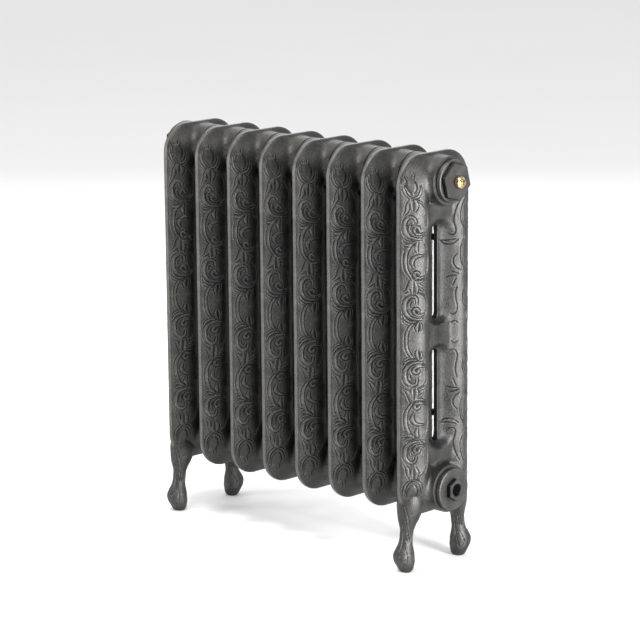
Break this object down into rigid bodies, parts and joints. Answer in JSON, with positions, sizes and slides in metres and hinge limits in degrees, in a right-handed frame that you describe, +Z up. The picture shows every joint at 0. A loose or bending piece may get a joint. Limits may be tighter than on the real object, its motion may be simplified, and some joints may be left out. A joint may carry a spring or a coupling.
{
  "type": "cast iron radiator",
  "caption": "Free-standing column radiator of ornate hollow iron castings on screwed hub nipples, with legged end castings, an air vent and threaded pipe bushes.",
  "frame": {"origin": "middle of the bounding box's base, on the floor", "axes": "+X along the radiator towards the air vent end, -Y the front, +Z up"},
  "size_m": [0.6534, 0.1716, 0.674],
  "materials": {
    "iron": "antiqued gunmetal paint on sand-cast iron",
    "rubber": "matte",
    "brass": "polished",
    "fibre": "matte"
  },
  "bodies": {
    "radiator": {"section_1": "iron", "section_2": "iron", "section_3": "iron", "section_4": "iron", "section_5": "iron", "section_6": "iron", "section_7": "iron", "section_8": "iron", "nipple_lower_1": "iron", "nipple_lower_2": "iron", "nipple_lower_3": "iron", "nipple_lower_4": "iron", "nipple_lower_5": "iron", "nipple_lower_6": "iron", "nipple_lower_7": "iron", "nipple_upper_1": "iron", "nipple_upper_2": "iron", "nipple_upper_3": "iron", "nipple_upper_4": "iron", "nipple_upper_5": "iron", "nipple_upper_6": "iron", "nipple_upper_7": "iron", "vent_plug_upper_right": "iron", "inlet_bush_lower_right": "iron", "blank_plug_upper_left": "iron", "outlet_bush_lower_left": "iron", "joint_gasket_lower_1": "rubber", "joint_gasket_lower_2": "rubber", "joint_gasket_lower_3": "rubber", "joint_gasket_lower_4": "rubber", "joint_gasket_lower_5": "rubber", "joint_gasket_lower_6": "rubber", "joint_gasket_lower_7": "rubber", "joint_gasket_upper_1": "rubber", "joint_gasket_upper_2": "rubber", "joint_gasket_upper_3": "rubber", "joint_gasket_upper_4": "rubber", "joint_gasket_upper_5": "rubber", "joint_gasket_upper_6": "rubber", "joint_gasket_upper_7": "rubber", "end_gasket_lower_left": "rubber", "end_gasket_lower_right": "rubber", "end_gasket_upper_left": "rubber", "end_gasket_upper_right": "rubber", "air_vent_body": "brass", "vent_washer": "fibre"},
    "bleed_valve": {"bleed_screw": "brass"}
  },
  "joints": [
    {"name": "bleed_screw_turn", "type": "hinge", "parent": "radiator", "child": "bleed_valve", "pos_m": [0.3213, 0, 0.632], "axis": [1, 0, 0], "range_deg": [0, 225]}
  ]
}
